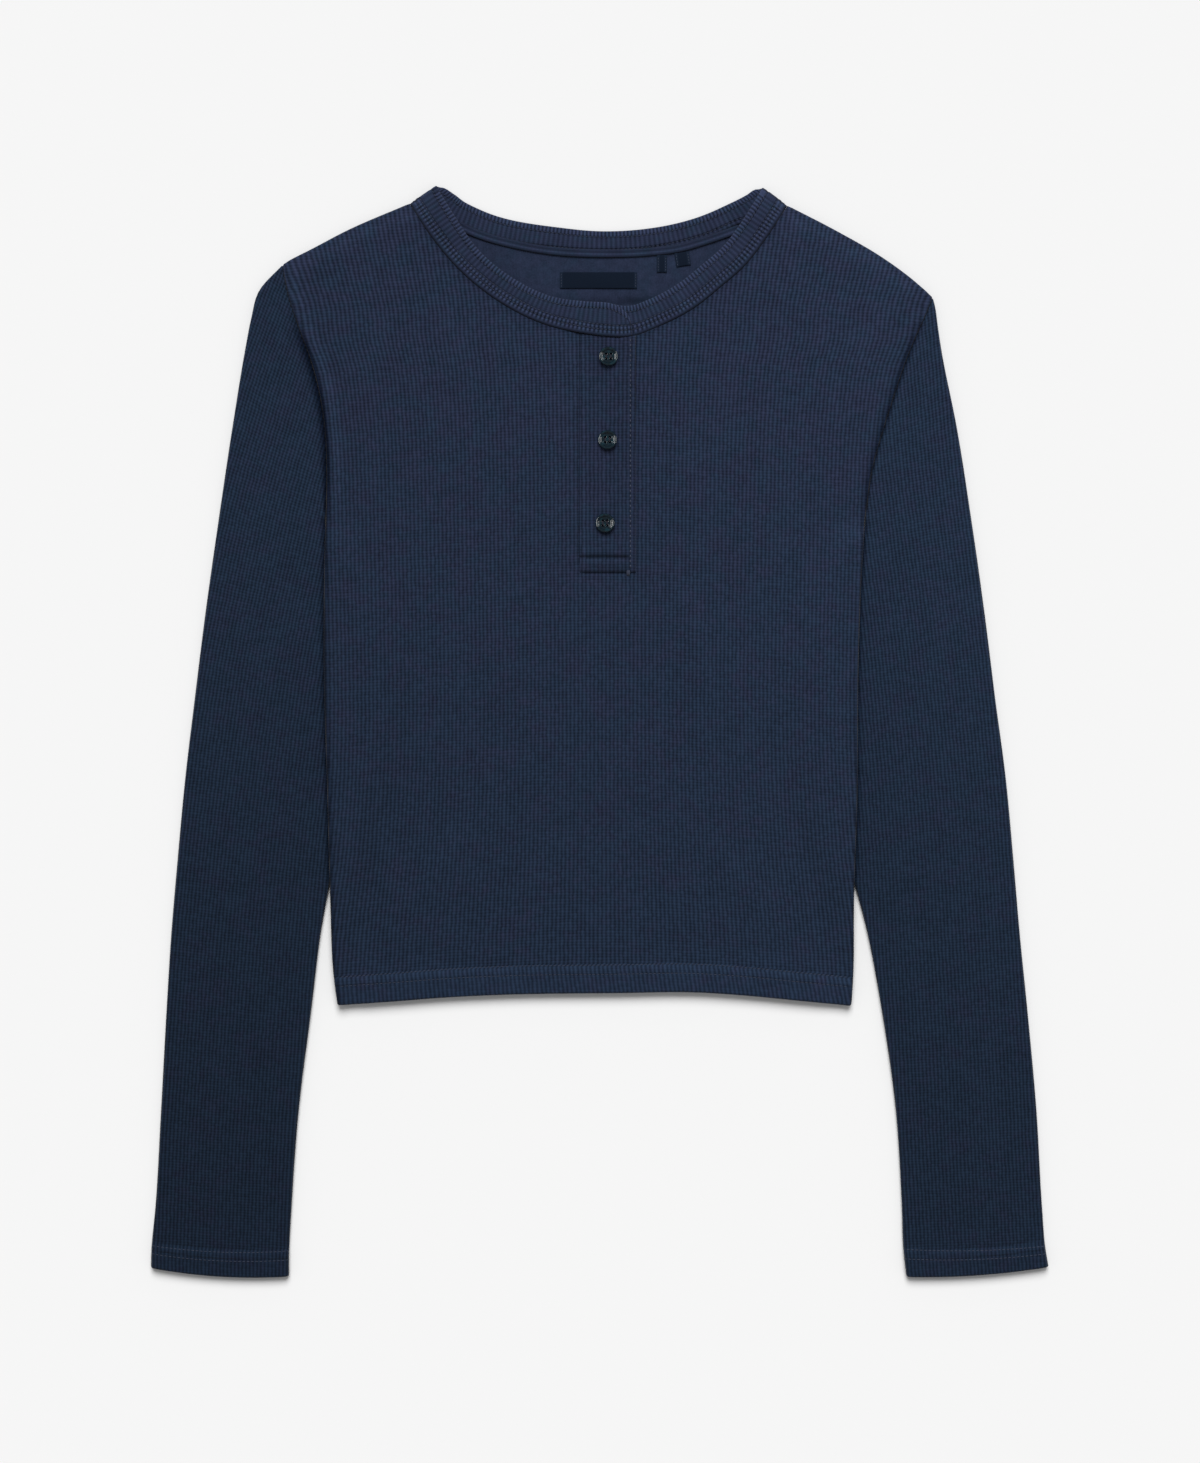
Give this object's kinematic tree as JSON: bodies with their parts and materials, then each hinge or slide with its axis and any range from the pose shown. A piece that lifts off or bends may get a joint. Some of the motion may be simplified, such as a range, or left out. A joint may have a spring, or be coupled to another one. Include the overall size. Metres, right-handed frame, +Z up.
{
  "type": "thermal top",
  "caption": "Cropped long-sleeved thermal top in waffle knit with a scooped neckband and a short buttoned placket, laid flat with its sleeves down.",
  "frame": {"origin": "on the table under the middle of the top's outline, seen from above", "axes": "+Z up off the table and out of the front of the top; +Y along the body from the hem to the neck; +X towards the wearer's left"},
  "size_m": [0.5379, 0.654, 0.0118],
  "materials": {
    "body_knit": "matte waffle knit",
    "back_knit": "matte waffle knit",
    "sleeve_knit": "matte waffle knit",
    "band_knit": "matte waffle knit",
    "placket_knit": "matte waffle knit",
    "jersey": "matte single jersey",
    "woven_label": "satin woven ribbon",
    "button_resin": "polished"
  },
  "bodies": {
    "root": {"front_panel": "body_knit", "back_panel": "back_knit", "sleeve_right": "sleeve_knit", "sleeve_left": "sleeve_knit", "neckband": "band_knit", "neck_tape": "band_knit", "placket_upper": "placket_knit", "placket_under": "placket_knit", "back_neck_facing": "jersey", "neck_label": "woven_label", "fit_tab": "woven_label", "size_tab": "woven_label", "button_1": "button_resin", "button_2": "button_resin", "button_3": "button_resin"}
  },
  "joints": []
}
